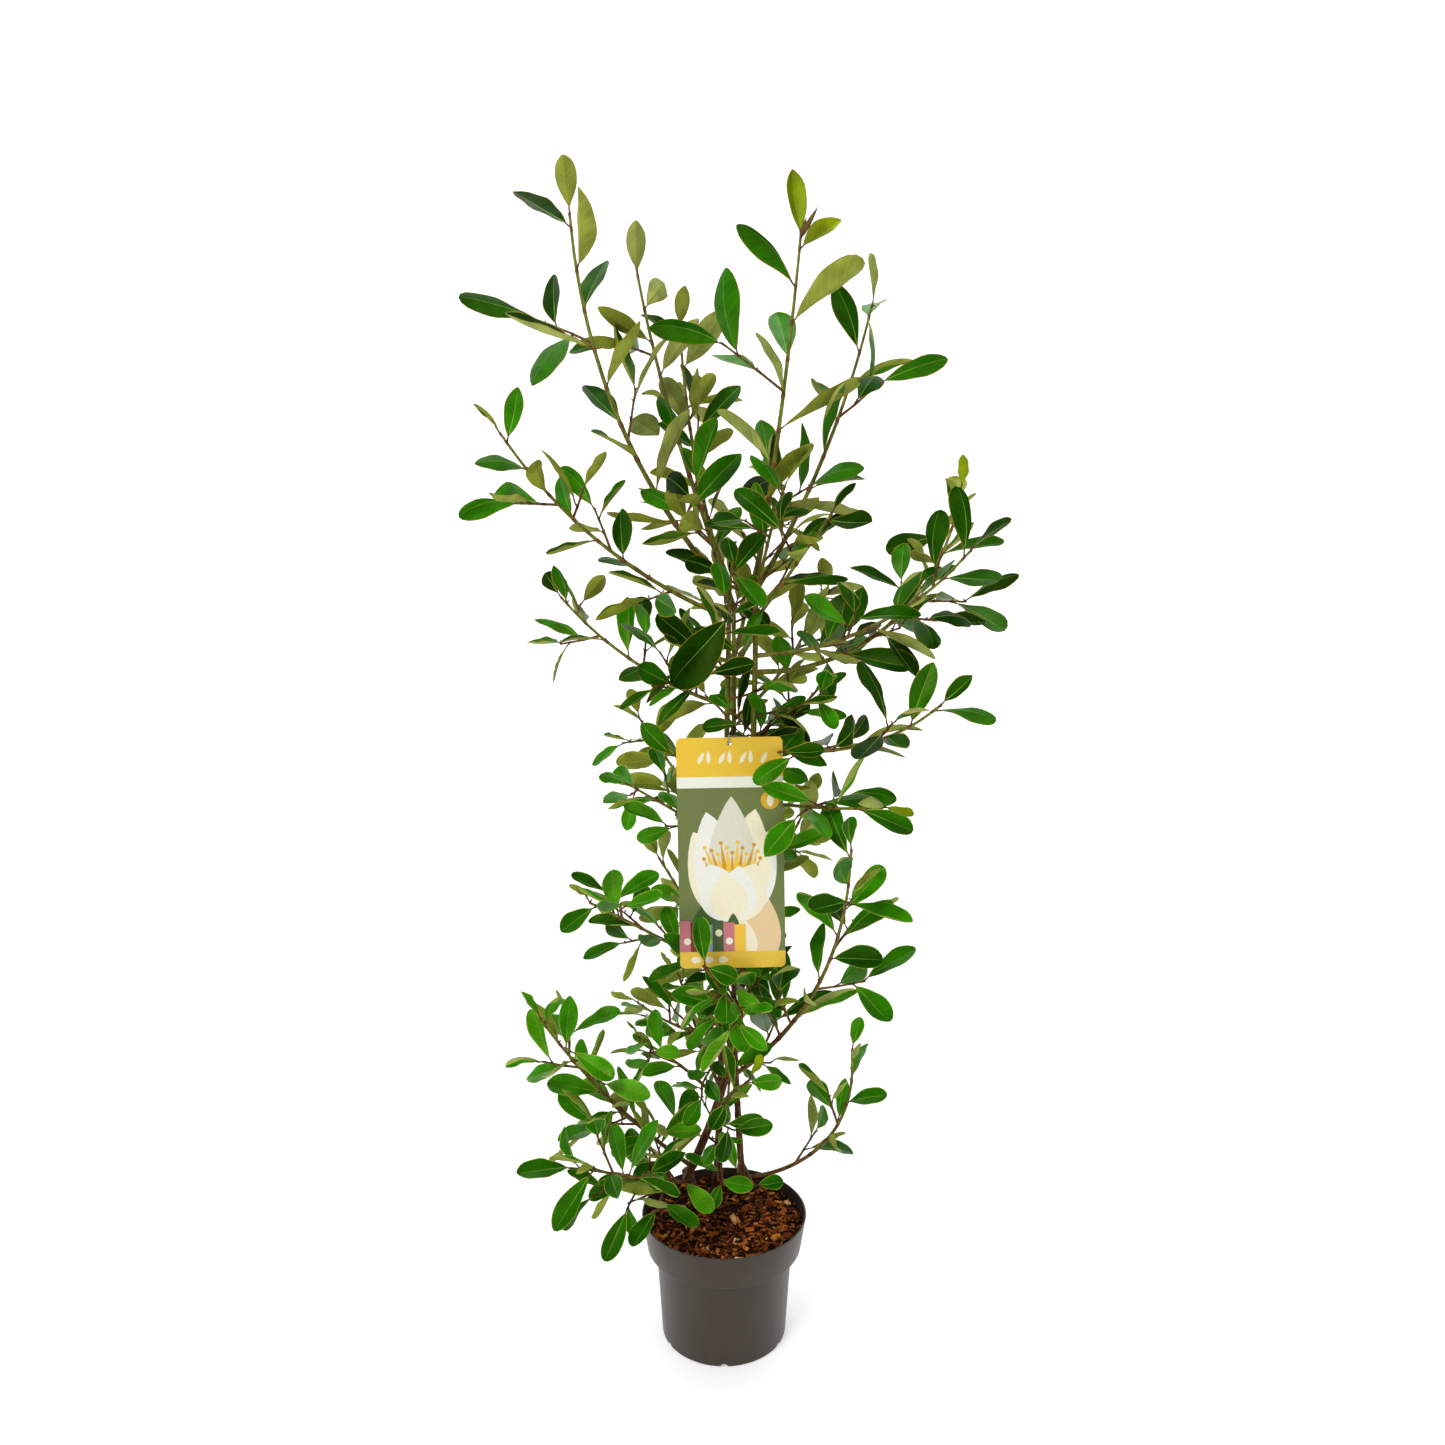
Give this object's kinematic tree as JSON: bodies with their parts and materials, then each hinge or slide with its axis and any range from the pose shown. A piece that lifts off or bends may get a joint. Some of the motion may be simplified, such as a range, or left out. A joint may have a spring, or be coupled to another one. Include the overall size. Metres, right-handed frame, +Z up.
{
  "type": "potted evergreen magnolia",
  "caption": "Young evergreen magnolia with slim upright stems, open leafy side shoots and a hanging label, in a round plastic nursery pot.",
  "frame": {"origin": "middle of the pot's flat underside", "axes": "+Z up along the pot's axis, -Y towards the side that the tag faces, +X to that side's right"},
  "size_m": [0.5311, 0.3609, 1.1435],
  "materials": {
    "pot_plastic": "satin grey-brown injection-moulded plastic",
    "bark_mix": "rough brown bark chips",
    "bark": "thin matt bark, brown below and olive green above",
    "leaf_green": "glossy dark green leaves with pale undersides",
    "tag_card": "printed plastic sheet, amber and white",
    "loop_plastic": "thin grey plastic loop"
  },
  "bodies": {
    "root": {"bough_back_high": "bark", "bough_back_left_middle": "bark", "bough_back_right_high": "bark", "bough_basal_left": "bark", "bough_basal_right": "bark", "bough_long_left": "bark", "bough_long_low_left": "bark", "bough_lower_left": "bark", "bough_lower_right": "bark", "bough_middle_left": "bark", "bough_right_back": "bark", "bough_right_front": "bark", "bough_tag_right_lower": "bark", "bough_tag_right_upper": "bark", "bough_top_back_left": "bark", "bough_top_inner_left": "bark", "bough_top_leader": "bark", "bough_top_left": "bark", "bough_top_right": "bark", "leaves_back_high": "leaf_green", "leaves_back_left_middle": "leaf_green", "leaves_back_low": "leaf_green", "leaves_back_right_high": "leaf_green", "leaves_back_right_middle": "leaf_green", "leaves_basal_left": "leaf_green", "leaves_basal_right": "leaf_green", "leaves_centre_left_high": "leaf_green", "leaves_centre_right_high": "leaf_green", "leaves_foot_left": "leaf_green", "leaves_foot_left_back": "leaf_green", "leaves_foot_left_upright": "leaf_green", "leaves_foot_right": "leaf_green", "leaves_front_high": "leaf_green", "leaves_front_low": "leaf_green", "leaves_long_left": "leaf_green", "leaves_long_low_left": "leaf_green", "leaves_lower_left": "leaf_green", "leaves_lower_left_inner": "leaf_green", "leaves_lower_right": "leaf_green", "leaves_middle_left": "leaf_green", "leaves_middle_left_low": "leaf_green", "leaves_middle_right_high": "leaf_green", "leaves_right_back": "leaf_green", "leaves_right_front": "leaf_green", "leaves_tag_right_lower": "leaf_green", "leaves_tag_right_upper": "leaf_green", "leaves_top_back_left": "leaf_green", "leaves_top_front_right": "leaf_green", "leaves_top_inner_left": "leaf_green", "leaves_top_leader": "leaf_green", "leaves_top_left": "leaf_green", "leaves_top_right": "leaf_green", "pot": "pot_plastic", "potting_mix": "bark_mix", "stem_back": "bark", "stem_left": "bark", "stem_main": "bark", "tag": "tag_card", "tag_loop": "loop_plastic", "trunk": "bark"}
  },
  "joints": []
}
